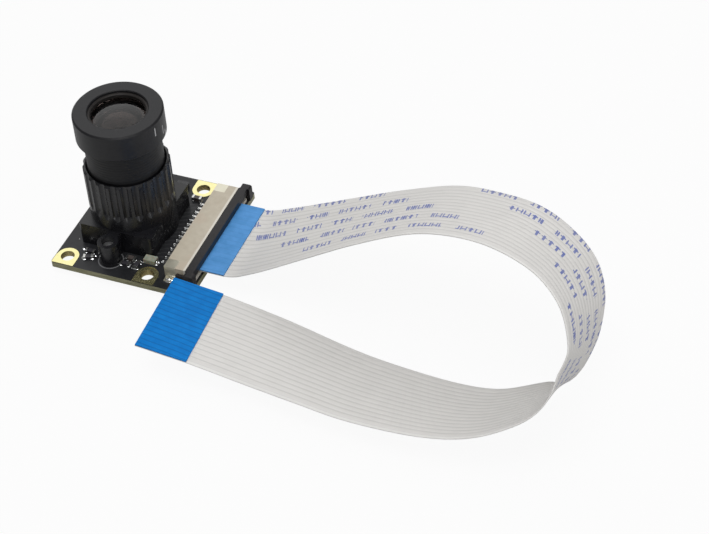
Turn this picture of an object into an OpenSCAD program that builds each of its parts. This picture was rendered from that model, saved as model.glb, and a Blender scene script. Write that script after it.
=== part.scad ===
// Board camera module with a screw-in lens and a fifteen-way flat ribbon cable.
// The origin is on the lens axis, at the underside of the board, in the middle
// of the four fixing holes. +X runs towards the ribbon connector, +Z is up.

/* [Board] */
// Length of the board along X
board_x = 24; // [23.5:0.5:30]
// Width of the board along Y
board_y = 25; // [25:0.5:34]
// Thickness of the board
board_t = 1; // [0.8:0.1:2]
// Radius of the board's corners
board_corner_r = 0.4; // [0.2:0.1:1.5]
// Spacing of the fixing holes along X
hole_pitch_x = 13.8; // [13.5:0.1:14.2]
// Spacing of the fixing holes along Y
hole_pitch_y = 21; // [20.8:0.1:21.2]
// Diameter of the fixing holes
hole_d = 2.2; // [1.6:0.1:2.6]
// Distance from the lens end of the board to its first holes
hole_margin = 2; // [1.95:0.05:2.5]
// Diameter of the plated pad round each fixing hole
pad_d = 3.6; // [3:0.1:3.9]
// Thickness of plating that stands proud of the board
pad_t = 0.05; // [0.03:0.01:0.1]

/* [Lens holder] */
// Outside diameter of the fluted tower
tower_d = 13.6; // [13.2:0.1:15]
// Height of the tower above the board
tower_h = 13; // [12:0.5:16]
// Number of flutes round the tower
flute_count = 24; // [16:1:30]
// Depth of each flute
flute_depth = 0.38; // [0.2:0.02:0.42]
// Radius of the cutter that forms each flute
flute_r = 0.75; // [0.6:0.05:0.8]
// Height above the board at which the flutes reach their full depth
flute_base_h = 6.8; // [6:0.1:8]
// Length over which a flute runs out to its point
flute_point = 1.8; // [1:0.1:2]
// Size of the square base block along X
base_x = 12.6; // [12.2:0.1:13.4]
// Size of the square base block along Y
base_y = 13.7; // [13:0.1:14.4]
// Height of the base block
base_h = 4; // [3.6:0.1:4.4]
// Distance between the two screw bosses
boss_pitch = 18.3; // [17.9:0.1:18.8]
// Diameter of each screw boss
boss_d = 3.3; // [3:0.1:3.6]
// Height of each screw boss
boss_h = 3.9; // [3.6:0.1:4.2]
// Width of the web that joins a boss to the base block
web_w = 2; // [1.6:0.1:2.6]
// Inside size of the sensor chamber
chamber_size = 9.6; // [9.2:0.1:10]
// Height of the sensor chamber
chamber_h = 3; // [2.6:0.1:3.2]
// Size of the light window over the chamber
window_size = 7; // [6:0.1:7.6]
// Thickness of the ledge that carries the filter
ledge_t = 0.6; // [0.5:0.1:1]
// Chamfer on the tower's rim
rim_chamfer = 0.3; // [0.1:0.05:0.4]

/* [Holder screws] */
// Diameter of the screw thread
screw_d = 1.9; // [1.6:0.1:2.1]
// Length of the screw under its head
screw_len = 4; // [3.4:0.1:4.4]
// Diameter of the screw head
screw_head_d = 3.5; // [3:0.1:3.8]
// Height of the screw head
screw_head_h = 1.2; // [0.9:0.1:1.5]
// Width of each slot of the cross recess
recess_w = 0.5; // [0.3:0.05:0.7]
// Length of each slot of the cross recess
recess_len = 1.9; // [1.4:0.1:2.2]
// Depth of the cross recess
recess_depth = 0.6; // [0.3:0.1:0.8]
// Gap between a screw and the hole it passes through
screw_gap = 0.05; // [0.02:0.01:0.1]

/* [Lens] */
// Outside diameter of the lens thread
thread_d = 12; // [11.8:0.05:12.2]
// Radial running clearance of the lens in its holder
thread_gap = 0.05; // [0.02:0.01:0.1]
// Diameter of the lens head
head_d = 14; // [13.6:0.1:15]
// Height of the lens head
head_h = 4.7; // [4.2:0.1:5.5]
// Gap between the tower's rim and the underside of the head
focus_gap = 5.3; // [3:0.1:6]
// Length of the threaded barrel below the head
barrel_len = 11.5; // [10:0.1:11.7]
// Chamfer under the head
head_chamfer = 0.4; // [0.2:0.1:0.8]
// Chamfer on the head's front edge
front_chamfer = 0.25; // [0.1:0.05:0.4]
// Diameter of the lens mouth
mouth_d = 9.3; // [9:0.1:9.8]
// Depth from the front face to the retaining ring
mouth_depth = 0.45; // [0.3:0.05:0.8]
// Radial width of the front retaining ring
ring_w = 0.4; // [0.3:0.05:0.6]
// Thickness of the front retaining ring
ring_t = 0.7; // [0.5:0.05:0.9]
// Clearance round each glass in its seat
glass_gap = 0.1; // [0.05:0.01:0.15]
// Edge thickness of the front glass
front_glass_t = 1.5; // [1.2:0.1:2]
// Height of the front glass's dome
front_dome = 0.6; // [0.3:0.05:0.8]
// Depth of the hollow in the back of the front glass
front_hollow = 0.7; // [0.3:0.05:0.9]
// Diameter of the bore behind the front glass
inner_bore_d = 7.2; // [6.6:0.1:7.6]
// Diameter of the aperture
iris_d = 2.6; // [2:0.1:3.4]
// Depth of the cone in front of the aperture
cone_depth = 2.4; // [1.8:0.1:3]
// Thickness of the aperture wall
iris_t = 0.5; // [0.4:0.05:0.8]
// Thickness of the middle glass
middle_glass_t = 1.8; // [1.4:0.1:2.2]
// Length of the spacer tube between the rear glasses
spacer_len = 4; // [3.4:0.1:4.4]
// Wall of the spacer tube
spacer_wall = 0.6; // [0.4:0.05:0.8]
// Thickness of the rear glass
rear_glass_t = 2.4; // [1.8:0.1:2.6]
// Thickness of the rear retaining ring
rear_ring_t = 0.8; // [0.6:0.1:0.9]

/* [Sensor] */
// Size of the square sensor package
sensor_size = 8.5; // [8:0.1:9]
// Height of the sensor package
sensor_h = 1; // [0.8:0.05:1.3]
// Wall round the package's well
sensor_wall = 0.8; // [0.6:0.05:1]
// Depth of the package's well
sensor_well = 0.5; // [0.4:0.05:0.7]
// Thickness of the sensor chip
die_t = 0.25; // [0.15:0.05:0.35]
// Length of the sensor chip
die_x = 4.6; // [4:0.1:5]
// Width of the sensor chip
die_y = 3.6; // [3:0.1:4]
// Thickness of the cover glass
cover_t = 0.4; // [0.3:0.05:0.6]
// Size of the square filter pane
filter_size = 8.2; // [8:0.05:8.4]
// Thickness of the filter pane
filter_t = 0.5; // [0.3:0.05:0.6]

/* [Connector] */
// Distance from the lens axis to the back of the connector
conn_x = 9.9; // [9.6:0.1:10.4]
// Depth of the housing's top deck
deck_x = 3.6; // [3.2:0.1:4]
// Depth of the housing's lower jaw
jaw_x = 4.8; // [4.4:0.1:5]
// Length of the housing along Y
conn_y = 20.3; // [19.6:0.1:21]
// Height of the housing
conn_h = 2.5; // [2.3:0.05:2.8]
// Thickness of the housing's floor
conn_floor = 0.6; // [0.5:0.05:0.8]
// Thickness of the housing's top deck
conn_roof = 0.55; // [0.4:0.05:0.6]
// Thickness of the housing's back wall
conn_back = 0.9; // [0.7:0.05:1.1]
// Number of contacts
contact_count = 15; // [13:2:15]
// Pitch of the contacts
contact_pitch = 1; // [0.98:0.01:1.02]
// Width of each contact
contact_w = 0.35; // [0.25:0.05:0.5]
// Thickness of each contact
contact_t = 0.2; // [0.15:0.01:0.25]
// Reach of each contact's foot behind the housing
foot_len = 2; // [1.4:0.1:2.2]
// Radial gap all round the sliding latch
latch_gap = 0.08; // [0.05:0.01:0.1]
// Depth of the latch's front bar
latch_x = 1.3; // [1.1:0.05:1.5]
// Thickness of the latch's side arms
arm_w = 0.5; // [0.4:0.05:0.7]
// Height of the latch's side arms
arm_h = 1.5; // [1.2:0.05:1.7]
// Gap between a side arm and the hold-down tab behind it
arm_gap = 0.2; // [0.1:0.05:0.4]
// Depth of the knob at each end of the latch
knob_x = 1.7; // [1.4:0.1:1.9]
// Width of each knob beyond the housing's end
knob_y = 1.1; // [0.8:0.1:1.3]
// Radius of the knob's upper edges
knob_r = 0.35; // [0.2:0.05:0.6]
// Thickness of the latch's tongue
tongue_t = 0.3; // [0.2:0.02:0.34]
// Length of the latch's tongue inside the housing
tongue_len = 2.2; // [1.6:0.1:2.5]
// Thickness of the hold-down tabs
tab_t = 0.2; // [0.15:0.01:0.3]
// Length of each hold-down tab
tab_x = 1.9; // [1.6:0.1:2.4]
// Width of the hold-down tab's top leaf
tab_y = 1.8; // [1.4:0.1:2.0]
// Reach of the hold-down tab's soldered foot
tab_foot = 0.8; // [0.5:0.05:0.9]

/* [Ribbon cable] */
// Width of the ribbon
ribbon_w = 16; // [15.8:0.05:16.1]
// Thickness of the ribbon
ribbon_t = 0.2; // [0.12:0.01:0.24]
// Thickness of each stiffener
stiffener_t = 0.2; // [0.15:0.01:0.22]
// Length of each stiffener
stiffener_len = 8; // [7:0.1:10]
// Length of the tinned contact fingers
finger_len = 4; // [3:0.1:5]
// Width of each tinned finger
finger_w = 0.7; // [0.5:0.05:0.8]
// Thickness of the tinned fingers
finger_t = 0.05; // [0.03:0.01:0.06]
// Gap between the cable's underside and the contacts
seat_gap = 0.05; // [0.02:0.01:0.1]

/* [Small parts] */
// Length of the status lamp
lamp_x = 2; // [1.6:0.1:2.2]
// Width of the status lamp
lamp_y = 1.25; // [1:0.05:1.4]
// Height of the status lamp
lamp_h = 0.8; // [0.6:0.05:1.1]
// Length of a chip capacitor or resistor
chip_len = 1.6; // [1.4:0.05:1.7]
// Width of a chip capacitor or resistor
chip_w = 0.8; // [0.6:0.05:0.9]
// Height of a chip capacitor
cap_h = 0.7; // [0.5:0.05:0.9]
// Height of a chip resistor
res_h = 0.45; // [0.35:0.05:0.6]
// Length of the metal at each end of a chip
chip_end = 0.35; // [0.2:0.05:0.45]
// Length of the voltage regulator
regulator_x = 1.6; // [1.4:0.05:1.8]
// Width of the voltage regulator
regulator_y = 2.9; // [2.6:0.05:3]
// Height of the voltage regulator
regulator_h = 1.1; // [0.9:0.05:1.3]
// Length of the oscillator
oscillator_x = 2; // [1.8:0.05:2.2]
// Width of the oscillator
oscillator_y = 2.5; // [2.3:0.05:2.7]
// Height of the oscillator
oscillator_h = 0.8; // [0.6:0.05:1]

/* [Hidden] */

$fn = 64;
eps = 0.01;

black = "#1b1b1d";
board_black = "#151617";
cream = "#d6cfbb";
steel = "#b9bbbd";
gold = "#c9b060";
white = "#e4e4e2";
blue = "#1c78c2";
clear = "#a9b7bf";

// Levels above the board's underside
board_top = board_t;
rim_z = board_top + tower_h;
head_z = rim_z + focus_gap;
front_z = head_z + head_h;
barrel_z = head_z - barrel_len;
base_corner_r = 0.5;
sensor_corner_r = 0.3;

// Bare strip between a pad and the board's edge
pad_edge = 0.1;

// Places along X
board_x0 = -hole_pitch_x / 2 - hole_margin;
latch_back = conn_x + deck_x + latch_gap;

// Lens stack, from the front face backwards
ring_z = front_z - mouth_depth - ring_t;
glass_z = ring_z - glass_gap - front_glass_t;
shoulder_z = glass_z - glass_gap;
iris_z = shoulder_z - cone_depth - iris_t;
middle_z = iris_z - middle_glass_t;
spacer_z = middle_z - spacer_len;
rear_z = spacer_z - rear_glass_t;
rear_ring_z = rear_z - rear_ring_t;
bore_r = thread_d / 2 + thread_gap;
inner_r = inner_bore_d / 2;
thread_chamfer = 0.35;
mouth_chamfer = 0.12;
ring_chamfer = 0.15;
rear_dome = 0.5;
hollow_rim = 0.3;

// Connector levels
conn_z = board_top;
slot_z = conn_z + conn_floor;
cable_z = slot_z + contact_t + seat_gap + finger_t;
stiffener_z = cable_z + ribbon_t;
tongue_z = stiffener_z + stiffener_t + latch_gap;
slot_y = ribbon_w + 4 * latch_gap;
arm_y = conn_y / 2 + latch_gap;
cable_x0 = conn_x + conn_back + latch_gap;
ribbon_z = cable_z + ribbon_t / 2;
riser_x = 0.6;

// Largest distance between two rings of the ribbon
ring_step = 2.6;

ROUTE = [
  [cable_x0 + stiffener_len, 0, ribbon_z],
  [24, 0, 4],
  [34, 0, 9.5],
  [42.5, -0.5, 14.5],
  [50.5, -1, 18.5],
  [57, -2, 20.5],
  [63.5, -3.5, 21.5],
  [69, -5.5, 21],
  [73.5, -8, 19.5],
  [76.5, -11, 16.5],
  [77.5, -14, 12.5],
  [76.5, -17, 9],
  [74.5, -19.5, 6.5],
  [71, -21, 4.5],
  [65.5, -22.5, 2.5],
  [58.5, -23, 1.5],
  [48.5, -22.5, 1],
  [40.5, -21.5, 1],
  [29.5, -20, 1.5],
  [21.2, -19.8, 2.8]
];
WIDE = [
  [0, 1, 0],
  [0.02, 1, -0.01],
  [0.09, 0.99, -0.07],
  [0.15, 0.98, -0.12],
  [0.2, 0.96, -0.17],
  [0.26, 0.94, -0.23],
  [0.28, 0.92, -0.28],
  [0.27, 0.89, -0.36],
  [0.24, 0.86, -0.45],
  [0.14, 0.84, -0.52],
  [0.05, 0.84, -0.54],
  [0.04, 0.81, -0.58],
  [0.02, 0.9, -0.44],
  [-0.04, 0.92, -0.39],
  [-0.02, 0.94, -0.34],
  [0.02, 0.96, -0.28],
  [0.02, 0.98, -0.22],
  [-0.01, 0.98, -0.19],
  [-0.06, 0.99, -0.11],
  [-0.09, 0.99, -0.08]
];

// The ribbon's free end: a straight length as long as its stiffener
END_T = unit([-7.8, -0.5, 1.5]);
END_W = across(WIDE[len(WIDE) - 1], END_T);
END = ROUTE[len(ROUTE) - 1] + stiffener_len * END_T;

// Places of the small parts, with each chip's turn
lamp_at = [6.2, -7.6];
regulator_at = [-3.6, 9.3];
oscillator_at = [3.4, 9.4];
chip_step = 0.05;
oscillator_corner_r = 0.2;
CAPACITORS = [[3.1, -8.2, 0], [7, 7.9, 0]];
RESISTORS = [[4.5, -9.1, 90], [2.6, -9.4, 0], [-3.9, -8.5, 0], [-3.6, -9.8, 20]];

module rounded_plate(x, y, t, r) {
  linear_extrude(t) {
    square([x - 2 * r, y], center = true);
    square([x, y - 2 * r], center = true);
    for (sx = [-1, 1], sy = [-1, 1])
      translate([sx * (x / 2 - r), sy * (y / 2 - r)])
        circle(r);
  }
}

module at_holes() {
  for (sx = [-1, 1], sy = [-1, 1])
    translate([sx * hole_pitch_x / 2, sy * hole_pitch_y / 2, 0])
      children();
}

module at_bosses() {
  for (sy = [-1, 1])
    translate([0, sy * boss_pitch / 2, 0])
      children();
}

module at_contacts() {
  for (i = [0 : contact_count - 1])
    translate([0, (i - (contact_count - 1) / 2) * contact_pitch, 0])
      children();
}

// Bare board with its fixing holes and the two holes for the holder's screws
module board() {
  color(board_black)
    difference() {
      translate([board_x0 + board_x / 2, 0, 0])
        rounded_plate(board_x, board_y, board_t, board_corner_r);
      at_holes()
        translate([0, 0, -1])
          cylinder(h = board_t + 2, d = hole_d);
      at_bosses()
        translate([0, 0, -1])
          cylinder(h = board_t + 2, d = screw_d + 2 * screw_gap);
    }
}

// Plated pads on both faces of the board: a round pad that also covers the
// strip between its hole and the board's edge
module hole_rings() {
  reach = (board_y - hole_pitch_y) / 2 - pad_edge;
  color(gold)
    for (m = [0, 1], sx = [-1, 1], z = [-pad_t, board_top])
      mirror([0, m, 0])
        translate([sx * hole_pitch_x / 2, hole_pitch_y / 2, z])
          linear_extrude(pad_t)
            difference() {
              union() {
                circle(d = pad_d);
                translate([-pad_d / 2, 0])
                  square([pad_d, reach]);
                if (sx < 0)
                  translate([pad_edge - hole_margin, 0])
                    square([hole_margin, reach]);
              }
              circle(d = hole_d);
            }
}

// One flute: a round cutter that comes to a point at its lower end
module flute_cutter() {
  rotate_extrude($fn = 32)
    polygon([
      [0, 0],
      [flute_r, flute_point],
      [flute_r, flute_point + tower_h],
      [0, flute_point + tower_h]
    ]);
}

module flutes() {
  for (i = [0 : flute_count - 1])
    rotate([0, 0, (i + 0.5) * 360 / flute_count])
      translate([tower_d / 2 + flute_r - flute_depth, 0, flute_base_h - flute_point])
        flute_cutter();
}

// Fluted tower on a square base, with a screw boss at the front and at the back
module lens_holder() {
  color(black)
    translate([0, 0, board_top])
      difference() {
        union() {
          rounded_plate(base_x, base_y, base_h, base_corner_r);
          cylinder(h = tower_h - rim_chamfer, d = tower_d, $fn = 96);
          translate([0, 0, tower_h - rim_chamfer])
            cylinder(h = rim_chamfer, d1 = tower_d, d2 = tower_d - 2 * rim_chamfer, $fn = 96);
          at_bosses() {
            cylinder(h = boss_h, d = boss_d);
          }
          translate([-web_w / 2, -boss_pitch / 2, 0])
            cube([web_w, boss_pitch, boss_h]);
        }
        flutes();
        translate([0, 0, chamber_h + ledge_t])
          cylinder(h = tower_h, r = bore_r, $fn = 96);
        translate([0, 0, tower_h - rim_chamfer])
          cylinder(h = rim_chamfer + eps, r1 = bore_r, r2 = bore_r + rim_chamfer, $fn = 96);
        translate([-window_size / 2, -window_size / 2, -1])
          cube([window_size, window_size, tower_h]);
        translate([-chamber_size / 2, -chamber_size / 2, -1])
          cube([chamber_size, chamber_size, chamber_h + 1]);
        at_bosses()
          translate([0, 0, -1])
            cylinder(h = tower_h, d = screw_d + 2 * screw_gap);
      }
}

// Pan-head screws that come up through the board into the bosses
module holder_screws() {
  color(steel)
    at_bosses()
      difference() {
        union() {
          cylinder(h = screw_len, d = screw_d);
          translate([0, 0, -screw_head_h / 2])
            cylinder(h = screw_head_h / 2, d = screw_head_d);
          translate([0, 0, -screw_head_h])
            cylinder(h = screw_head_h / 2, d1 = screw_head_d - 2 * recess_w, d2 = screw_head_d);
        }
        for (turn = [0, 90])
          rotate([0, 0, turn])
            translate([-recess_len / 2, -recess_w / 2, -screw_head_h - 1])
              cube([recess_len, recess_w, recess_depth + 1]);
      }
}

module filter_pane() {
  color(clear)
    translate([-filter_size / 2, -filter_size / 2, board_top + chamber_h + ledge_t])
      cube([filter_size, filter_size, filter_t]);
}

// Square package with a well for the chip and a rebate for its cover glass
module sensor_package() {
  well = sensor_size - 2 * sensor_wall;
  color("#e6e3d8")
    translate([0, 0, board_top])
      difference() {
        rounded_plate(sensor_size, sensor_size, sensor_h, sensor_corner_r);
        translate([-well / 2, -well / 2, sensor_h - sensor_well])
          cube([well, well, sensor_well + 1]);
      }
}

module sensor_chip() {
  color("#3a4038")
    translate([-die_x / 2, -die_y / 2, board_top + sensor_h - sensor_well])
      cube([die_x, die_y, die_t]);
}

module sensor_cover() {
  cover = sensor_size - sensor_wall;
  color(clear)
    translate([-cover / 2, -cover / 2, board_top + sensor_h])
      cube([cover, cover, cover_t]);
}

// Head and barrel in one turned piece, with the mouth, the seats and the stop
module lens_barrel() {
  head_r = head_d / 2;
  thread_r = thread_d / 2;
  mouth_r = mouth_d / 2;
  color(black)
    rotate_extrude($fn = 96)
      polygon([
        [inner_r, barrel_z],
        [thread_r - thread_chamfer, barrel_z],
        [thread_r, barrel_z + thread_chamfer],
        [thread_r, head_z],
        [head_r - head_chamfer, head_z],
        [head_r, head_z + head_chamfer],
        [head_r, front_z - front_chamfer],
        [head_r - front_chamfer, front_z],
        [mouth_r + mouth_chamfer, front_z],
        [mouth_r, front_z - mouth_chamfer],
        [mouth_r, shoulder_z],
        [inner_r, shoulder_z],
        [iris_d / 2, iris_z + iris_t],
        [iris_d / 2, iris_z],
        [inner_r, iris_z]
      ]);
}

// Ring that screws in behind the lens mouth and holds the front glass
module front_ring() {
  outer_r = mouth_d / 2;
  color(black)
    translate([0, 0, ring_z])
      rotate_extrude($fn = 96)
        polygon([
          [outer_r - ring_w, 0],
          [outer_r, 0],
          [outer_r, ring_t],
          [outer_r - ring_w + ring_chamfer, ring_t],
          [outer_r - ring_w, ring_t - ring_chamfer]
        ]);
}

// Thin glass with a domed front and a hollow back
module front_glass() {
  glass_r = mouth_d / 2 - glass_gap;
  dome_r = mouth_d / 2 - ring_w - glass_gap;
  sphere_r = (dome_r * dome_r + front_dome * front_dome) / (2 * front_dome);
  hollow_r = inner_r - hollow_rim;
  back_r = (hollow_r * hollow_r + front_hollow * front_hollow) / (2 * front_hollow);
  top = glass_z + front_glass_t;
  color(clear)
    difference() {
      union() {
        translate([0, 0, glass_z])
          cylinder(h = front_glass_t, r = glass_r, $fn = 96);
        intersection() {
          translate([0, 0, top - eps])
            cylinder(h = front_dome + 1, r = dome_r, $fn = 96);
          translate([0, 0, top + front_dome - sphere_r])
            sphere(sphere_r, $fn = 128);
        }
      }
      translate([0, 0, glass_z + front_hollow - back_r])
        sphere(back_r, $fn = 96);
    }
}

module middle_glass() {
  color(clear)
    translate([0, 0, middle_z])
      cylinder(h = middle_glass_t, r = inner_r);
}

module spacer_tube() {
  color(black)
    translate([0, 0, spacer_z])
      difference() {
        cylinder(h = spacer_len, r = inner_r);
        translate([0, 0, -1])
          cylinder(h = spacer_len + 2, r = inner_r - spacer_wall);
      }
}

// Rear glass with a domed back face
module rear_glass() {
  dome_r = inner_r - spacer_wall;
  sphere_r = (dome_r * dome_r + rear_dome * rear_dome) / (2 * rear_dome);
  color(clear) {
    translate([0, 0, rear_z])
      cylinder(h = rear_glass_t, r = inner_r);
    intersection() {
      translate([0, 0, rear_z - rear_dome - 1])
        cylinder(h = rear_dome + 1 + eps, r = dome_r);
      translate([0, 0, rear_z - rear_dome + sphere_r])
        sphere(sphere_r, $fn = 96);
    }
  }
}

module rear_ring() {
  color(black)
    translate([0, 0, rear_ring_z])
      difference() {
        cylinder(h = rear_ring_t, r = inner_r);
        translate([0, 0, -1])
          cylinder(h = rear_ring_t + 2, r = inner_r - spacer_wall);
      }
}

// Cream moulding: floor, back wall, top deck and two cheeks round the cable slot
module connector_housing() {
  color(cream)
    translate([conn_x, 0, conn_z])
      difference() {
        union() {
          translate([0, -conn_y / 2, 0])
            cube([deck_x, conn_y, conn_h]);
          translate([0, -conn_y / 2, 0])
            cube([jaw_x, conn_y, conn_floor]);
        }
        translate([conn_back, -slot_y / 2, conn_floor])
          cube([jaw_x, slot_y, conn_h - conn_floor - conn_roof]);
        for (m = [0, 1])
          mirror([0, m, 0]) {
            translate([-1, conn_y / 2 - tab_y, conn_h - tab_t])
              cube([tab_x + 1, tab_y + 1, tab_t + 1]);
            translate([-1, conn_y / 2 - tab_t, -1])
              cube([tab_x + 1, 1, conn_h + 2]);
          }
        at_contacts()
          translate([-1, -contact_w / 2, conn_floor])
            cube([conn_back + 2, contact_w, contact_t]);
      }
}

// Fifteen bent contacts: a foot on the board, a riser and a beam under the cable
module connector_contacts() {
  color(steel)
    translate([conn_x, 0, conn_z])
      at_contacts()
        rotate([90, 0, 0])
          translate([0, 0, -contact_w / 2])
            linear_extrude(contact_w)
              polygon([
                [-foot_len, 0],
                [-riser_x - contact_t, 0],
                [-riser_x + contact_t, conn_floor],
                [jaw_x - riser_x, conn_floor],
                [jaw_x - riser_x, conn_floor + contact_t],
                [-riser_x, conn_floor + contact_t],
                [-riser_x - 2 * contact_t, contact_t],
                [-foot_len, contact_t]
              ]);
}

// Folded metal tabs that hold the housing's ends down: a leaf let into the deck,
// a wall down the housing's end and a soldered foot
module connector_tabs() {
  color(steel)
    translate([conn_x, 0, conn_z])
      for (m = [0, 1])
        mirror([0, m, 0])
          rotate([90, 0, 90])
            linear_extrude(tab_x)
              polygon([
                [conn_y / 2 - tab_y, conn_h - tab_t],
                [conn_y / 2 - tab_t, conn_h - tab_t],
                [conn_y / 2 - tab_t, 0],
                [conn_y / 2 + tab_foot, 0],
                [conn_y / 2 + tab_foot, tab_t],
                [conn_y / 2, tab_t],
                [conn_y / 2, conn_h],
                [conn_y / 2 - tab_y, conn_h]
              ]);
}

// Knob at an end of the latch, with rounded upper edges
module latch_knob() {
  knob_z = conn_h - latch_gap;
  rotate([-90, 0, 0])
    linear_extrude(knob_y)
      mirror([0, 1]) {
        square([knob_x, knob_z - knob_r]);
        translate([knob_r, 0])
          square([knob_x - 2 * knob_r, knob_z]);
        for (x = [knob_r, knob_x - knob_r])
          translate([x, knob_z - knob_r])
            circle(knob_r);
      }
}

// Pull-out latch: a front bar with a knob to pull on at each end, a short arm
// behind each knob and a tongue over the cable
module connector_latch() {
  arm_z = conn_z + latch_gap;
  arm_back = conn_x + tab_x + arm_gap;
  top_z = conn_z + conn_h;
  color(black) {
    translate([latch_back, -arm_y - eps, tongue_z])
      cube([latch_x, 2 * (arm_y + eps), top_z - tongue_z]);
    translate([latch_back - tongue_len, -ribbon_w / 2, tongue_z])
      cube([tongue_len + eps, ribbon_w, tongue_t]);
    for (m = [0, 1])
      mirror([0, m, 0]) {
        translate([latch_back, arm_y, arm_z])
          latch_knob();
        translate([arm_back, arm_y, arm_z])
          cube([latch_back + eps - arm_back, arm_w, arm_h]);
      }
  }
}

// Ribbon route: points on the middle of the ribbon and, beside each one, the
// direction of its width there
function unit(v) = v / norm(v);
function across(w, t) = unit(w - (w * t) * t);

// Point or direction on the smooth curve through a list
function blend(p, t) =
  0.5 * (2 * p[1] + (p[2] - p[0]) * t
         + (2 * p[0] - 5 * p[1] + 4 * p[2] - p[3]) * t * t
         + (3 * p[1] - p[0] - 3 * p[2] + p[3]) * t * t * t);
function near(list, i, first, last) = [
  i == 0 ? first : list[i - 1],
  list[i],
  list[i + 1],
  i + 2 > len(list) - 1 ? last : list[i + 2]
];
function steps(i) = ceil(norm(ROUTE[i + 1] - ROUTE[i]) / ring_step);

function middle(i, t) =
  blend(near(ROUTE, i, ROUTE[0] - [stiffener_len, 0, 0], END), t);
function width(i, t) =
  blend(near(WIDE, i, WIDE[0], WIDE[len(WIDE) - 1]), t);
function along(i, t) = unit(middle(i, t + 0.01) - middle(i, t - 0.01));

// One ring: eight points round the ribbon's flat section
function ring(c, w, n) = [
  for (k = [-2, -0.7, 0.7, 2]) c + k / 4 * ribbon_w * w - ribbon_t / 2 * n,
  for (k = [2, 0.7, -0.7, -2]) c + k / 4 * ribbon_w * w + ribbon_t / 2 * n
];
function ring_at(c, t, w) = ring(c, across(w, t), cross(t, across(w, t)));

RINGS = [
  ring_at([cable_x0, 0, ribbon_z], [1, 0, 0], [0, 1, 0]),
  for (i = [0 : len(ROUTE) - 2])
    for (k = [0 : steps(i) - 1])
      ring_at(middle(i, k / steps(i)), i + k == 0 ? [1, 0, 0] : along(i, k / steps(i)),
              width(i, k / steps(i))),
  ring_at(ROUTE[len(ROUTE) - 1], END_T, END_W),
  ring_at(END, END_T, END_W)
];

CAP = [[0, 1, 7], [1, 6, 7], [1, 2, 6], [2, 5, 6], [2, 3, 5], [3, 4, 5]];

module ribbon_cable() {
  last = len(RINGS) - 1;
  color(white)
    polyhedron(
      points = [for (r = RINGS) each r],
      faces = concat(
        CAP,
        [for (f = CAP) [f[2] + 8 * last, f[1] + 8 * last, f[0] + 8 * last]],
        [for (i = [0 : last - 1], j = [0 : 7]) [8 * i + j, 8 * i + 8 + j, 8 * i + (j + 1) % 8]],
        [for (i = [0 : last - 1], j = [0 : 7])
          [8 * i + (j + 1) % 8, 8 * i + 8 + j, 8 * i + 8 + (j + 1) % 8]]
      )
    );
}

// Puts its children at the ribbon's free end: X runs back along the ribbon,
// Y across it and Z out of its upper face
module at_free_end() {
  n = cross(END_T, END_W);
  multmatrix([
    [-END_T[0], END_W[0], -n[0], END[0]],
    [-END_T[1], END_W[1], -n[1], END[1]],
    [-END_T[2], END_W[2], -n[2], END[2]],
    [0, 0, 0, 1]
  ])
    children();
}

module stiffener() {
  color(blue)
    translate([0, -ribbon_w / 2, ribbon_t / 2])
      cube([stiffener_len, ribbon_w, stiffener_t]);
}

module fingers() {
  color(steel)
    at_contacts()
      translate([0, -finger_w / 2, -ribbon_t / 2 - finger_t])
        cube([finger_len, finger_w, finger_t]);
}

module board_end_stiffener() {
  translate([cable_x0, 0, ribbon_z])
    stiffener();
}

module board_end_fingers() {
  translate([cable_x0, 0, ribbon_z])
    fingers();
}

module free_end_stiffener() {
  at_free_end()
    stiffener();
}

module free_end_fingers() {
  at_free_end()
    fingers();
}

// Small pale lamp beside a fixing hole
module status_lamp() {
  color("#e8e6cf")
    translate([lamp_at[0] - lamp_x / 2, lamp_at[1] - lamp_y / 2, board_top])
      cube([lamp_x, lamp_y, lamp_h]);
}

// Puts its children at each chip of a list, on the board
module at_chips(list) {
  for (p = list)
    translate([p[0], p[1], board_top])
      rotate([0, 0, p[2]])
        children();
}

// A chip's body, slightly slimmer than its metal ends
module chip_body(h) {
  translate([-chip_len / 2 + chip_end, -chip_w / 2 + chip_step, 0])
    cube([chip_len - 2 * chip_end, chip_w - 2 * chip_step, h - chip_step]);
}

module chip_caps(h) {
  for (m = [0, 1])
    mirror([m, 0, 0])
      translate([chip_len / 2 - chip_end, -chip_w / 2, 0])
        cube([chip_end, chip_w, h]);
}

module chip_capacitors() {
  color("#8a6a4c")
    at_chips(CAPACITORS)
      chip_body(cap_h);
}

module chip_resistors() {
  color("#3a3a3c")
    at_chips(RESISTORS)
      chip_body(res_h);
}

module chip_ends() {
  color(steel) {
    at_chips(CAPACITORS)
      chip_caps(cap_h);
    at_chips(RESISTORS)
      chip_caps(res_h);
  }
}

module regulator() {
  color(black)
    translate([regulator_at[0], regulator_at[1], board_top])
      rounded_plate(regulator_x, regulator_y, regulator_h, chip_step);
}

module oscillator() {
  color(steel)
    translate([oscillator_at[0], oscillator_at[1], board_top])
      rounded_plate(oscillator_x, oscillator_y, oscillator_h, oscillator_corner_r);
}

board();
hole_rings();
lens_holder();
holder_screws();
filter_pane();
sensor_package();
sensor_chip();
sensor_cover();
lens_barrel();
front_ring();
front_glass();
middle_glass();
spacer_tube();
rear_glass();
rear_ring();
connector_housing();
connector_contacts();
connector_tabs();
connector_latch();
ribbon_cable();
board_end_stiffener();
board_end_fingers();
free_end_stiffener();
free_end_fingers();
status_lamp();
chip_capacitors();
chip_resistors();
chip_ends();
regulator();
oscillator();
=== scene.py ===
import math
import random

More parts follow.
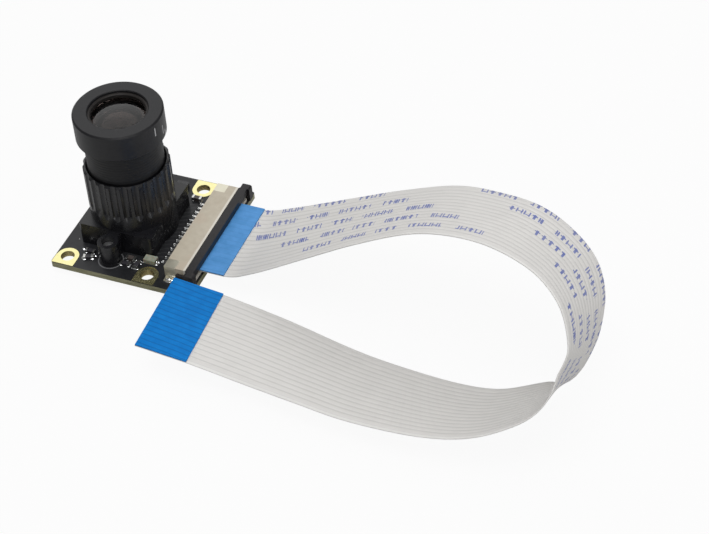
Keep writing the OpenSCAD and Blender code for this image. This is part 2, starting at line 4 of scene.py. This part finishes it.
import bmesh
import bpy
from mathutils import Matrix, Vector


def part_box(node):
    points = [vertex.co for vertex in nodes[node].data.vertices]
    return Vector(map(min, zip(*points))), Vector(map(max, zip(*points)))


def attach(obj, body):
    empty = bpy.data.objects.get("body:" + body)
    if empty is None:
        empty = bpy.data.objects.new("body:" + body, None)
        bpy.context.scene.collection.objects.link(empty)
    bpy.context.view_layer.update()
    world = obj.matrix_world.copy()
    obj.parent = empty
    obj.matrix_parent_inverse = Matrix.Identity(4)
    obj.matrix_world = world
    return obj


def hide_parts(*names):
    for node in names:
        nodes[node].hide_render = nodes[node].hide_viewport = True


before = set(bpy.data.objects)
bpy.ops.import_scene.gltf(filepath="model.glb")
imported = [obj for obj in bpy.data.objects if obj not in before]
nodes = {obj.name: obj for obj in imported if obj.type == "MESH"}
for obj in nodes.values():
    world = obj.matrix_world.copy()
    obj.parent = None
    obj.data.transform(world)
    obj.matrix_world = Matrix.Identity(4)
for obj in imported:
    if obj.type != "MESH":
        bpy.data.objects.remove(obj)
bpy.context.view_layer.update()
MM = 0.001
random.seed(7)


# ---------------------------------------------------------------- camera
def make_camera():
    data = bpy.data.cameras.new("camera")
    data.sensor_fit = "HORIZONTAL"
    data.sensor_width = 36.0
    data.lens = 101.55
    data.clip_start = 0.01
    data.clip_end = 20.0
    cam = bpy.data.objects.new("camera", data)
    bpy.context.scene.collection.objects.link(cam)
    cam.location = (0.12877, -0.20270, 0.21193)
    cam.rotation_euler = (0.81355, 0.05272, 0.37420)
    bpy.context.scene.camera = cam


make_camera()


# ---------------------------------------------------------------- the ribbon's route, in mm
STIFF_X0 = 10.88
STIFF_LEN = 8.0
RIBBON_Z = 2.0
WIDTH = 16.0
THICK = 0.2
ROUTE = [Vector(p) for p in (
    (STIFF_X0 + STIFF_LEN, 0, RIBBON_Z),
    (24, 0, 4), (34, 0, 9.5), (42.5, -0.5, 14.5), (50.5, -1, 18.5), (57, -2, 20.5),
    (63.5, -3.5, 21.5), (69, -5.5, 21), (73.5, -8, 19.5), (76.5, -11, 16.5), (77.5, -14, 12.5),
    (76.5, -17, 9), (74.5, -19.5, 6.5), (71, -21, 4.5), (65.5, -22.5, 2.5), (58.5, -23, 1.5),
    (48.5, -22.5, 1), (40.5, -21.5, 1), (29.5, -20, 1.5), (21.2, -19.8, 2.8))]
WIDE = [Vector(w) for w in (
    (0, 1, 0), (0.02, 1, -0.01), (0.09, 0.99, -0.07), (0.15, 0.98, -0.12), (0.2, 0.96, -0.17),
    (0.26, 0.94, -0.23), (0.28, 0.92, -0.28), (0.27, 0.89, -0.36), (0.24, 0.86, -0.45),
    (0.14, 0.84, -0.52), (0.05, 0.84, -0.54), (0.04, 0.81, -0.58), (0.02, 0.9, -0.44),
    (-0.04, 0.92, -0.39), (-0.02, 0.94, -0.34), (0.02, 0.96, -0.28), (0.02, 0.98, -0.22),
    (-0.01, 0.98, -0.19), (-0.06, 0.99, -0.11), (-0.09, 0.99, -0.08))]
END_T = Vector((-7.8, -0.5, 1.5)).normalized()


def across(w, t):
    return (w - w.dot(t) * t).normalized()


END_W = across(WIDE[-1], END_T)
END = ROUTE[-1] + STIFF_LEN * END_T


def blend(p, t):
    """Point or direction on the smooth curve through a list."""
    return 0.5 * (2 * p[1] + (p[2] - p[0]) * t
                  + (2 * p[0] - 5 * p[1] + 4 * p[2] - p[3]) * t * t
                  + (3 * p[1] - p[0] - 3 * p[2] + p[3]) * t * t * t)


def near(pts, i, first, last):
    return (first if i == 0 else pts[i - 1], pts[i], pts[i + 1],
            last if i + 2 > len(pts) - 1 else pts[i + 2])


def middle(i, t):
    return blend(near(ROUTE, i, ROUTE[0] - Vector((STIFF_LEN, 0, 0)), END), t)


def width_at(i, t):
    return blend(near(WIDE, i, WIDE[0], WIDE[-1]), t)


def ribbon_rings(step=0.9):
    """(centre, width direction, thickness direction) along the whole ribbon."""
    out = []
    for k in range(10):
        c = Vector((STIFF_X0 + STIFF_LEN * k / 10, 0, RIBBON_Z))
        out.append((c, Vector((0, 1, 0)), Vector((0, 0, 1))))
    for i in range(len(ROUTE) - 1):
        n = math.ceil((ROUTE[i + 1] - ROUTE[i]).length / step)
        for k in range(n):
            t = k / n
            d = Vector((1, 0, 0)) if i + k == 0 else middle(i, t + 0.01) - middle(i, t - 0.01)
            d.normalize()
            w = across(width_at(i, t), d)
            out.append((middle(i, t), w, d.cross(w)))
    for k in range(11):
        out.append((ROUTE[-1] + STIFF_LEN * k / 10 * END_T, END_W, END_T.cross(END_W)))
    return out


# ---------------------------------------------------------------- mesh helpers
def new_object(name, bm, smooth=True):
    me = bpy.data.meshes.new(name)
    bm.to_mesh(me)
    bm.free()
    for p in me.polygons:
        p.use_smooth = smooth
    o = bpy.data.objects.new(name, me)
    bpy.context.scene.collection.objects.link(o)
    return o


def islands(name):
    """Lowest and highest corner, in mm, of each separate solid of a CAD node."""
    bm = bmesh.new()
    bm.from_mesh(nodes[name].data)
    bmesh.ops.remove_doubles(bm, verts=bm.verts, dist=1e-7)
    left = set(bm.verts)
    out = []
    while left:
        todo = [left.pop()]
        part = []
        while todo:
            v = todo.pop()
            part.append(v.co / MM)
            for e in v.link_edges:
                w = e.other_vert(v)
                if w in left:
                    left.remove(w)
                    todo.append(w)
        lo = Vector([min(p[a] for p in part) for a in range(3)])
        hi = Vector([max(p[a] for p in part) for a in range(3)])
        out.append((lo, hi))
    bm.free()
    return sorted(out, key=lambda box: tuple(round(c, 3) for c in (*box[0], *box[1])))


def mound(bm, x, y, z, rx, ry, h, rings=7, sides=18):
    """A solder joint: a round top that runs out in a concave skirt."""
    rows = []
    lean = random.uniform(-0.06, 0.06)
    for i in range(rings):
        r = 1 - i / rings
        lift = math.cos(math.pi * r / 2) ** 1.6
        ring = []
        for k in range(sides):
            a = 2 * math.pi * k / sides
            ring.append(bm.verts.new(((x + rx * (r * math.cos(a) + lean * lift)) * MM,
                                      (y + ry * r * math.sin(a)) * MM, (z + h * lift) * MM)))
        rows.append(ring)
    top = bm.verts.new(((x + rx * lean) * MM, y * MM, (z + h) * MM))
    for a, b in zip(rows, rows[1:]):
        for k in range(sides):
            bm.faces.new((a[k], a[(k + 1) % sides], b[(k + 1) % sides], b[k]))
    for k in range(sides):
        bm.faces.new((rows[-1][k], rows[-1][(k + 1) % sides], top))
    bm.faces.new(list(reversed(rows[0])))


# ---------------------------------------------------------------- material helpers
class Mat:
    """A node material built step by step; lengths inside it are in millimetres."""

    def __init__(self, name):
        self.m = bpy.data.materials.new(name)
        self.m.use_nodes = True
        self.t = self.m.node_tree
        self.b = self.t.nodes["Principled BSDF"]
        self.coord = self.node("ShaderNodeTexCoord").outputs["Object"]
        self.mm = self.scaled((1000, 1000, 1000))

    def node(self, kind, **props):
        n = self.t.nodes.new(kind)
        for k, v in props.items():
            setattr(n, k, v)
        return n

    def put(self, sock, v):
        if isinstance(v, bpy.types.NodeSocket):
            self.t.links.new(v, sock)
        elif isinstance(v, tuple) and sock.type == "RGBA":
            sock.default_value = (*v, 1)
        else:
            sock.default_value = v

    def set(self, **values):
        for k, v in values.items():
            self.put(self.b.inputs[k.replace("_", " ")], v)
        return self

    def scaled(self, scale):
        mp = self.node("ShaderNodeMapping")
        mp.inputs["Scale"].default_value = scale
        self.put(mp.inputs["Vector"], self.coord)
        return mp.outputs["Vector"]

    def noise(self, size, detail=3.0, stretch=(1, 1, 1)):
        """Noise whose grains are about size mm across, longer along a low stretch."""
        n = self.node("ShaderNodeTexNoise")
        n.inputs["Scale"].default_value = 1.0
        n.inputs["Detail"].default_value = detail
        self.put(n.inputs["Vector"], self.scaled(tuple(1000 / size * s for s in stretch)))
        return n.outputs["Fac"]

    def ramp(self, fac, low, high, start=0.35, end=0.65):
        r = self.node("ShaderNodeValToRGB")
        for e, p, c in zip(r.color_ramp.elements, (start, end), (low, high)):
            e.position = p
            e.color = (*c, 1)
        self.put(r.inputs["Fac"], fac)
        return r.outputs["Color"]

    def math(self, op, a, b=0.0, c=0.0):
        n = self.node("ShaderNodeMath", operation=op)
        for sock, v in zip(n.inputs, (a, b, c)):
            self.put(sock, v)
        return n.outputs[0]

    def mix(self, fac, a, b):
        n = self.node("ShaderNodeMix", data_type="RGBA")
        for sock, v in ((n.inputs[0], fac), (n.inputs[6], a), (n.inputs[7], b)):
            self.put(sock, v)
        return n.outputs[2]

    def xyz(self, source=None):
        n = self.node("ShaderNodeSeparateXYZ")
        self.put(n.inputs[0], source or self.mm)
        return n.outputs

    def near_to(self, value, target, half):
        """1 where value lies within half of target."""
        return self.math("COMPARE", value, target, half)

    def soft(self, value, start, end):
        """0 below start, 1 above end, smooth between."""
        n = self.node("ShaderNodeMapRange", interpolation_type="SMOOTHSTEP")
        for name, v in (("Value", value), ("From Min", start), ("From Max", end)):
            self.put(n.inputs[name], v)
        return n.outputs[0]

    def length(self, a, b):
        return self.math("SQRT", self.math("ADD", self.math("MULTIPLY", a, a), self.math("MULTIPLY", b, b)))

    def to_line(self, value, pitch):
        """Distance from the nearest whole multiple of pitch, as a share of the pitch."""
        return self.math("ABSOLUTE", self.math("SUBTRACT", self.math("FRACT", self.math(
            "ADD", self.math("DIVIDE", value, pitch), 100.5)), 0.5))

    def bump(self, height, strength, distance):
        n = self.node("ShaderNodeBump")
        n.inputs["Strength"].default_value = strength
        n.inputs["Distance"].default_value = distance * MM
        self.put(n.inputs["Height"], height)
        last = self.b.inputs["Normal"].links
        if last:
            self.put(n.inputs["Normal"], last[0].from_socket)
        self.put(self.b.inputs["Normal"], n.outputs[0])
        return self


def tone(name, low, high, rough, size=0.9, bump=0.15, depth=0.02, **sockets):
    """Colour, gloss and surface that vary a little, as on moulded or plated parts."""
    m = Mat(name)
    fine = m.noise(size, 4.0)
    broad = m.noise(size * 9, 2.0)
    both = m.math("ADD", m.math("MULTIPLY", fine, 0.55), m.math("MULTIPLY", broad, 0.45))
    m.set(Base_Color=m.ramp(both, low, high),
          Roughness=m.math("MULTIPLY_ADD", both, rough[1] - rough[0], rough[0]), **sockets)
    m.bump(m.noise(size / 2.2), bump, depth)
    m.grain = both
    return m


def dress(name, mat):
    o = nodes[name]
    o.data.materials.clear()
    o.data.materials.append(mat.m)


# ---------------------------------------------------------------- ribbon cable
PRINT_PITCH = 3.15
PRINT_FIRST = 7.5
PRINT_SHIFT = 6.3
PRINT_PERIOD = 51.0
PRINT_START = -3.1
WORDS = ((0, 5.8), (8.1, 12.8), (14.7, 18.9), (20.8, 26.8), (29.3, 34))
TICK_PITCH = 1.25
PRINT_END = 112.0


def ribbon_section():
    """Points round the flat section: (across, height); a low ridge over each conductor."""
    xs = [-WIDTH / 2 + 0.04]
    for c in range(-7, 8):
        xs += [c - 0.42, c - 0.3, c, c + 0.3, c + 0.42]
    xs.append(WIDTH / 2 - 0.04)

    def height(x):
        c = round(x)
        ridge = 0.035 * max(0.0, 1 - (abs(x - c) / 0.4) ** 4) if abs(c) <= 7 else 0.0
        return THICK / 2 - 0.015 + ridge

    top = [(x, height(x)) for x in xs]
    side = [(WIDTH / 2, 0.03), (WIDTH / 2, -0.03)]
    bottom = [(x, -height(x)) for x in reversed(xs)]
    other = [(-WIDTH / 2, -0.03), (-WIDTH / 2, 0.03)]
    return top + side + bottom + other


def make_ribbon():
    """The swept ribbon; its map 'run' holds length / 200 mm, across and face (1 is the upper)."""
    rings = ribbon_rings()
    section = ribbon_section()
    bm = bmesh.new()
    uv = bm.loops.layers.uv.new("run")
    face = bm.loops.layers.uv.new("face")
    run = [0.0]
    for a, b in zip(rings, rings[1:]):
        run.append(run[-1] + (b[0] - a[0]).length)
    rows = [[bm.verts.new((c + x * w + h * n) * MM) for x, h in section] for c, w, n in rings]
    count = len(section)
    for i in range(len(rows) - 1):
        for j in range(count):
            k = (j + 1) % count
            f = bm.faces.new((rows[i][j], rows[i][k], rows[i + 1][k], rows[i + 1][j]))
            for loop, (r, p) in zip(f.loops, ((i, j), (i, k), (i + 1, k), (i + 1, j))):
                loop[uv].uv = (run[r] / 200.0, (section[p][0] + 10.0) / 20.0)
                loop[face].uv = (1.0 if section[j][1] + section[k][1] > 0 else 0.0, 0.0)
    bm.faces.new(list(reversed(rows[0])))
    bm.faces.new(rows[-1])
    bmesh.ops.recalc_face_normals(bm, faces=bm.faces)
    return new_object("ribbon", bm), [c * MM for c, w, n in rings], run[-1] * MM


def print_mask(m, s, v, upper):
    """Rows of slanted ticks in groups, plain marks with no letters, on the upper face."""
    row = m.math("DIVIDE", m.math("SUBTRACT", PRINT_FIRST + PRINT_PITCH / 2, v), PRINT_PITCH)
    index = m.math("FLOOR", row)
    w = m.math("MULTIPLY", m.math("SUBTRACT", m.math("SUBTRACT", row, index), 0.5), PRINT_PITCH)
    u = m.math("SUBTRACT", m.math("SUBTRACT", s, PRINT_START), m.math("MULTIPLY", index, PRINT_SHIFT))
    u = m.math("SUBTRACT", u, m.math("MULTIPLY", w, 0.3))
    group = m.math("FLOOR", m.math("DIVIDE", u, PRINT_PERIOD))
    g = m.math("SUBTRACT", u, m.math("MULTIPLY", group, PRINT_PERIOD))
    word = None
    for a, b in WORDS:
        here = m.near_to(g, (a + b) / 2, (b - a) / 2)
        word = here if word is None else m.math("MAXIMUM", word, here)
    cell = m.math("FLOOR", m.math("DIVIDE", g, TICK_PITCH))
    along = m.to_line(m.math("SUBTRACT", g, TICK_PITCH / 2), TICK_PITCH)
    dice = m.node("ShaderNodeTexWhiteNoise", noise_dimensions="2D")
    key = m.node("ShaderNodeCombineXYZ")
    m.put(key.inputs[0], m.math("ADD", cell, m.math("MULTIPLY", group, 40.0)))
    m.put(key.inputs[1], index)
    m.put(dice.inputs["Vector"], key.outputs[0])
    pick = dice.outputs["Value"]
    stroke = m.math("LESS_THAN", along, 0.16)
    bar = m.math("MULTIPLY", m.math("LESS_THAN", along, 0.36),
                 m.near_to(w, m.math("MULTIPLY", m.math("SUBTRACT", pick, 0.5), 0.9), 0.13))
    twin = m.math("MULTIPLY", m.near_to(along, 0.33, 0.09), m.math("GREATER_THAN", pick, 0.45))
    single = m.math("MULTIPLY", stroke, m.math("LESS_THAN", pick, 0.55))
    marks = m.math("MAXIMUM", m.math("MAXIMUM", single, bar), twin)
    tall = m.near_to(w, 0.0, 0.62)
    near_gap = m.math("MULTIPLY", word, m.math("MULTIPLY", marks, tall))
    inside = m.math("MULTIPLY", m.near_to(index, 2.0, 2.1), m.math("LESS_THAN", s, PRINT_END))
    return m.math("MULTIPLY", m.math("MULTIPLY", near_gap, inside), upper)


def ribbon_material():
    """Warm grey film over fifteen flat conductors, with blue print on its upper face."""
    m = Mat("ribbon_film")
    uv = m.xyz(m.node("ShaderNodeUVMap", uv_map="run").outputs["UV"])
    s = m.math("MULTIPLY", uv[0], 200.0)
    v = m.math("SUBTRACT", m.math("MULTIPLY", uv[1], 20.0), 10.0)
    upper = m.xyz(m.node("ShaderNodeUVMap", uv_map="face").outputs["UV"])[0]
    off = m.to_line(v, 1.0)
    gap = m.soft(off, 0.36, 0.44)
    rim = m.soft(m.math("ABSOLUTE", v), 7.42, 7.5)
    tint = m.noise(2.6)
    base = m.mix(tint, (0.60, 0.588, 0.57), (0.665, 0.65, 0.63))
    base = m.mix(m.math("MULTIPLY", gap, 0.32), base, (0.34, 0.335, 0.33))
    base = m.mix(m.math("MULTIPLY", rim, 0.75), base, (0.70, 0.69, 0.67))
    ink = m.math("MULTIPLY", print_mask(m, s, v, upper), m.math("MULTIPLY_ADD", tint, 0.5, 0.55))
    base = m.mix(ink, base, (0.055, 0.095, 0.36))
    m.set(Base_Color=base, Roughness=m.math("MULTIPLY_ADD", tint, 0.12, 0.36), Specular_IOR_Level=0.4)
    m.bump(m.math("SUBTRACT", 1.0, gap), 0.35, 0.05)
    m.bump(m.noise(5.0, 2.0), 0.12, 0.2)
    return m


ribbon, ribbon_path, ribbon_len = make_ribbon()
ribbon.data.materials.append(ribbon_material().m)
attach(ribbon, "camera_board")
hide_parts("ribbon_cable")


def blue_film(name, low, high, turn, ridges, wave):
    """Blue backing; the conductors press faint wavy lines through it."""
    m = Mat(name)
    x, y, z = m.xyz()
    sway = m.math("MULTIPLY", m.math("SUBTRACT", m.noise(5.0, 2.0), 0.5), wave)
    v = m.math("ADD", m.math("SUBTRACT", y, turn), sway)
    line = m.soft(m.to_line(v, 1.0), 0.30, 0.5)
    n = m.noise(1.4)
    m.set(Base_Color=m.mix(m.math("MULTIPLY", line, ridges), m.ramp(n, low, high),
                           tuple(c * 0.45 for c in low)),
          Roughness=m.math("MULTIPLY_ADD", n, 0.12, 0.40), Specular_IOR_Level=0.1)
    m.bump(m.math("SUBTRACT", 1.0, line), 0.3, 0.05)
    return m


dress("board_end_stiffener", blue_film("blue_board_end", (0.076, 0.26, 0.56), (0.098, 0.30, 0.64), 0.0, 0.12, 0.0))
dress("free_end_stiffener", blue_film("blue_free_end", (0.0010, 0.158, 0.50), (0.0025, 0.185, 0.56), -20.1, 0.45, 0.5))


# ---------------------------------------------------------------- board
HOLE_X = 6.9
HOLE_Y = 10.5
HOLE_R = 1.1
BOSS_Y = 9.15
TEST_PADS = ((-5.2, -8.2, 0.27), (-2.7, -9.1, 0.24), (-6.9, -6.4, 0.14))


def board_material():
    """Black solder mask over faint tracks, with pale laminate edges and plated hole walls."""
    m = tone("board_mask", (0.011, 0.0115, 0.013), (0.019, 0.0195, 0.022), (0.30, 0.40), 0.7)
    x, y, z = m.xyz()
    ax = m.math("ABSOLUTE", x)
    ay = m.math("ABSOLUTE", y)
    flat = m.node("ShaderNodeTexCoord").outputs["Normal"]
    side = m.math("LESS_THAN", m.math("ABSOLUTE", m.xyz(flat)[2]), 0.5)
    hole = m.length(m.math("SUBTRACT", ax, HOLE_X), m.math("SUBTRACT", ay, HOLE_Y))
    bore = m.math("MULTIPLY", side, m.math("LESS_THAN", hole, HOLE_R + 0.1))
    boss = m.length(x, m.math("SUBTRACT", ay, BOSS_Y))
    ring = m.math("MULTIPLY", m.near_to(boss, 1.95, 0.09), m.math("GREATER_THAN", z, 0.5))
    fan = m.math("ADD", y, m.math("MULTIPLY", m.math("MAXIMUM", m.math("SUBTRACT", 7.3, x), 0.0), 0.6))
    track = m.math("MULTIPLY", m.math("LESS_THAN", m.to_line(fan, 1.0), 0.09),
                   m.math("MULTIPLY", m.near_to(x, 7.3, 1.0), m.math("LESS_THAN", ay, 7.3)))
    track = m.math("MULTIPLY", track, m.math("GREATER_THAN", z, 0.5))
    col = m.ramp(m.grain, (0.011, 0.0115, 0.013), (0.019, 0.0195, 0.022))
    col = m.mix(m.math("MULTIPLY", track, 0.6), col, (0.045, 0.047, 0.05))
    col = m.mix(m.math("MULTIPLY", ring, 0.45), col, (0.30, 0.30, 0.31))
    weave = m.noise(0.5, 2.0, (0.25, 0.25, 3.0))
    col = m.mix(side, col, m.ramp(weave, (0.17, 0.165, 0.09), (0.30, 0.29, 0.17)))
    col = m.mix(bore, col, (0.62, 0.52, 0.26))
    m.set(Base_Color=col, Metallic=bore, Specular_IOR_Level=0.36)
    m.bump(m.math("MAXIMUM", track, ring), 0.5, 0.03)
    return m


dress("board", board_material())
gold = tone("gold_plate", (0.93, 0.85, 0.40), (1.0, 0.94, 0.52), (0.20, 0.34), 0.6, Metallic=1.0)
dress("hole_rings", gold)
tin = tone("tin_plate", (0.60, 0.60, 0.58), (0.78, 0.78, 0.75), (0.18, 0.32), 0.4, Metallic=1.0)
solder_metal = tone("solder", (0.72, 0.73, 0.74), (0.86, 0.87, 0.88), (0.12, 0.26), 0.3, Metallic=1.0)
for name in ("connector_contacts", "board_end_fingers", "free_end_fingers", "chip_ends"):
    dress(name, tin)
dress("connector_tabs", tone("tab_plate", (0.66, 0.63, 0.50), (0.76, 0.73, 0.60), (0.30, 0.38), 1.6, bump=0.04,
                             Metallic=0.85))
dress("oscillator", tone("oscillator_lid", (0.05, 0.05, 0.052), (0.09, 0.09, 0.093), (0.42, 0.52), 0.6, Metallic=0.5))


def make_solder():
    """Solder at every contact foot, chip end, lamp end and tab foot, and the bare test pads."""
    bm = bmesh.new()
    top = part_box("board")[1][2] / MM
    for lo, hi in islands("connector_contacts"):
        mound(bm, lo.x + 0.12, (lo.y + hi.y) / 2, top, 0.42, 0.30, 0.34)
    for lo, hi in islands("chip_ends"):
        size = (hi - lo) / 2
        mid = (hi + lo) / 2
        mound(bm, mid.x, mid.y, top, size.x + 0.22, size.y + 0.14, (hi.z - lo.z) * 0.75)
    for lo, hi in islands("connector_tabs"):
        out = lo.y if lo.y < 0 else hi.y
        turn = -1 if lo.y < 0 else 1
        mound(bm, lo.x + 0.75, out - turn * 0.4, top, 0.95, 0.55, 0.45)
        mound(bm, hi.x - 0.6, out - turn * 0.4, top, 0.65, 0.5, 0.36)
    lo, hi = islands("status_lamp")[0]
    for x in (lo.x, hi.x):
        mound(bm, x, (lo.y + hi.y) / 2, top, 0.42, 0.6, 0.42)
    for x, y, r in TEST_PADS:
        mound(bm, x, y, top, r, r, 0.12)
    o = new_object("solder_joints", bm)
    o.data.materials.append(solder_metal.m)
    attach(o, "camera_board")


make_solder()


# ---------------------------------------------------------------- lens holder and lens
def holder_material():
    """Glossy black moulding with fine draw lines down its sides."""
    m = tone("holder_moulding", (0.0045, 0.0045, 0.006), (0.009, 0.009, 0.011), (0.22, 0.32), 1.3, bump=0.1)
    m.bump(m.noise(0.35, 2.0, (1, 1, 0.08)), 0.12, 0.03)
    m.set(Specular_IOR_Level=0.55)
    return m


dress("lens_holder", holder_material())
THREAD_PITCH = 0.5
HEAD_R = 7.0
HEAD_H = 4.7
MARKS = ((-12.0, 22.4, 1.5, 0.9), (5.5, 21.3, 1.6, 0.7), (12.0, 20.2, 1.1, 1.2))


def lens_material():
    """Black anodised metal: a fine thread on the barrel, turning marks on the head, index marks; the barrel is painted
    darker as painted shade under the head.
    """
    m = tone("lens_black", (0.0065, 0.0065, 0.008), (0.0115, 0.0115, 0.013), (0.34, 0.44), 0.5, bump=0.12)
    x, y, z = m.xyz()
    radius = m.length(x, y)
    head_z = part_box("lens_barrel")[1][2] / MM - HEAD_H
    barrel = m.math("LESS_THAN", z, head_z - 0.05)
    thread = m.math("MULTIPLY", m.math("SINE", m.math("MULTIPLY", z, 2 * math.pi / THREAD_PITCH)), barrel)
    angle = m.math("MULTIPLY", m.math("ARCTAN2", y, x), 180 / math.pi)
    mark = None
    for a, h, tall, wide in MARKS:
        stroke = m.math("MULTIPLY", m.near_to(angle, a, wide), m.near_to(z, h, tall / 2))
        mark = stroke if mark is None else m.math("MAXIMUM", mark, stroke)
    mark = m.math("MULTIPLY", mark, m.math("GREATER_THAN", radius, HEAD_R - 0.05))
    col = m.ramp(m.grain, (0.0065, 0.0065, 0.008), (0.0115, 0.0115, 0.013))
    # painted shade: the barrel below the head is darkened in colour
    col = m.mix(m.math("MULTIPLY", barrel, 0.6), col, (0.002, 0.002, 0.003))
    m.set(Base_Color=m.mix(m.math("MULTIPLY", mark, 0.8), col, (0.55, 0.55, 0.56)),
          Roughness=m.math("MULTIPLY_ADD", barrel, 0.12, m.math("MULTIPLY_ADD", m.grain, 0.1, 0.34)),
          Specular_IOR_Level=0.34)
    m.bump(thread, 0.22, 0.05)
    rings = m.math("SINE", m.math("MULTIPLY", radius, 2 * math.pi / 0.18))
    m.bump(rings, 0.05, 0.01)
    return m


dress("lens_barrel", lens_material())
inner = tone("lens_inner_black", (0.003, 0.003, 0.003), (0.006, 0.006, 0.006), (0.5, 0.65), 0.8,
             Specular_IOR_Level=0.15)
for name in ("spacer_tube", "rear_ring"):
    dress(name, inner)
dress("front_ring", tone("lens_front_ring", (0.013, 0.011, 0.010), (0.022, 0.019, 0.018), (0.4, 0.55), 0.8,
                         Specular_IOR_Level=0.3))


def glass(name, tint, gloss):
    m = Mat(name)
    n = m.noise(2.0, 2.0)
    m.set(Base_Color=m.ramp(n, tint, tuple(min(1, c * 1.05) for c in tint)),
          Roughness=m.math("MULTIPLY_ADD", n, 0.03, 0.02),
          Transmission_Weight=1.0, IOR=1.5, Specular_IOR_Level=gloss)
    return m


# painted shade: the front glass is tinted dark brown so the lens reads dark; its low gloss stands for the coating
dress("front_glass", glass("coated_front_glass_painted_shade", (0.30, 0.235, 0.215), 0.25))
# painted shade: the inner glasses are tinted warm grey to darken the view into the lens
for name in ("middle_glass", "rear_glass", "sensor_cover"):
    dress(name, glass("shade_tinted_glass_" + name, (0.72, 0.66, 0.62), 0.3))
dress("filter_pane", glass("infrared_filter", (0.62, 0.80, 0.78), 0.5))
dress("holder_screws", tone("screw_steel", (0.45, 0.45, 0.46), (0.62, 0.62, 0.63), (0.25, 0.4), 0.7, Metallic=1.0))
dress("sensor_package", tone("package_ceramic", (0.62, 0.59, 0.52), (0.72, 0.70, 0.64), (0.5, 0.65), 0.7))
dress("sensor_chip", tone("sensor_die", (0.05, 0.06, 0.055), (0.09, 0.10, 0.09), (0.12, 0.2), 0.4, Metallic=0.4))


# ---------------------------------------------------------------- connector
DECK_DEPTH = 2.62
# width and soft start of the painted highlight along the deck's edge
EDGE_HIGHLIGHT_WIDE = 0.45
EDGE_HIGHLIGHT_SOFT = 0.25


def deck_material():
    """Cream moulding, paler along the edge beside the latch: a painted highlight where the edge catches the light."""
    m = tone("cream_nylon", (0.43, 0.38, 0.295), (0.50, 0.45, 0.36), (0.34, 0.46), 0.9)
    x, y, z = m.xyz()
    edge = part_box("ribbon_cable")[0][0] / MM + DECK_DEPTH
    # painted highlight: a pale strip along the deck's edge beside the latch
    edge_highlight = m.soft(x, edge - EDGE_HIGHLIGHT_WIDE, edge - EDGE_HIGHLIGHT_SOFT)
    stain = m.soft(m.noise(2.2, 2.0), 0.5, 0.7)
    col = m.mix(m.math("MULTIPLY", stain, 0.35), m.ramp(m.grain, (0.43, 0.38, 0.295), (0.50, 0.45, 0.36)),
                (0.50, 0.40, 0.31))
    m.set(Base_Color=m.mix(m.math("MULTIPLY", edge_highlight, 0.7), col, (0.74, 0.71, 0.64)))
    return m


dress("connector_housing", deck_material())
dress("connector_latch", tone("latch_nylon", (0.011, 0.010, 0.011), (0.021, 0.019, 0.020), (0.38, 0.5), 0.6,
                             Specular_IOR_Level=0.32))


# ---------------------------------------------------------------- small parts
dress("status_lamp", tone("lamp_resin", (0.24, 0.25, 0.19), (0.34, 0.35, 0.28), (0.15, 0.3), 0.5,
                          Subsurface_Weight=0.2, Subsurface_Scale=0.0004))
dress("chip_capacitors", tone("capacitor_body", (0.045, 0.036, 0.034), (0.085, 0.068, 0.062), (0.35, 0.5), 0.4))
dress("chip_resistors", tone("resistor_body", (0.02, 0.02, 0.024), (0.04, 0.038, 0.045), (0.25, 0.4), 0.4))
dress("regulator", tone("package_black", (0.018, 0.018, 0.019), (0.03, 0.03, 0.032), (0.5, 0.65), 0.4))


# ---------------------------------------------------------------- floor, lights and world
FLOOR_Z = -1.25
FLOOR_GLOW = 0.94
WORLD_FILL = 0.25
SOFTBOX_POWER = 3.7
KEY_POWER = 2.5
FILL_POWER = 1.6


def make_floor():
    bm = bmesh.new()
    half = 6.0
    corners = ((-half, -half), (half, -half), (half, half), (-half, half))
    bm.faces.new([bm.verts.new((x, y, FLOOR_Z * MM)) for x, y in corners])
    o = new_object("floor", bm, smooth=False)
    m = Mat("floor_paper")
    m.set(Base_Color=(0.55, 0.55, 0.55), Roughness=0.9, Specular_IOR_Level=0.1)
    glow = m.node("ShaderNodeEmission")
    glow.inputs["Strength"].default_value = 1.0
    seen = m.math("MULTIPLY", m.node("ShaderNodeLightPath").outputs["Is Camera Ray"], FLOOR_GLOW)
    mix = m.node("ShaderNodeMixShader")
    for sock, v in zip(mix.inputs, (seen, m.b.outputs[0], glow.outputs[0])):
        m.put(sock, v)
    m.put(m.t.nodes["Material Output"].inputs["Surface"], mix.outputs[0])
    o.data.materials.append(m.m)


def softbox(name, where, target, size, power):
    data = bpy.data.lights.new(name, "AREA")
    data.shape = "SQUARE"
    data.size = size
    data.energy = power
    o = bpy.data.objects.new(name, data)
    bpy.context.scene.collection.objects.link(o)
    o.location = where
    o.rotation_euler = (Vector(target) - Vector(where)).to_track_quat("-Z", "Y").to_euler()


def make_world():
    world = bpy.data.worlds.new("studio")
    bpy.context.scene.world = world
    world.use_nodes = True
    t = world.node_tree
    path = t.nodes.new("ShaderNodeLightPath")
    level = t.nodes.new("ShaderNodeMath")
    level.operation = "MULTIPLY_ADD"
    level.inputs[1].default_value = 1.0 - WORLD_FILL
    level.inputs[2].default_value = WORLD_FILL
    t.links.new(path.outputs["Is Camera Ray"], level.inputs[0])
    back = t.nodes["Background"]
    back.inputs["Color"].default_value = (1, 1, 1, 1)
    t.links.new(level.outputs[0], back.inputs["Strength"])


make_floor()
aim = (0.02, -0.005, 0.01)
softbox("back_softbox", (-0.36, 0.56, 0.60), aim, 1.2, SOFTBOX_POWER)
softbox("key", (0.05, -0.12, 0.62), aim, 0.35, KEY_POWER)
softbox("fill", (0.62, -0.12, 0.12), aim, 0.5, FILL_POWER)
make_world()
bpy.context.scene.view_settings.view_transform = "Standard"
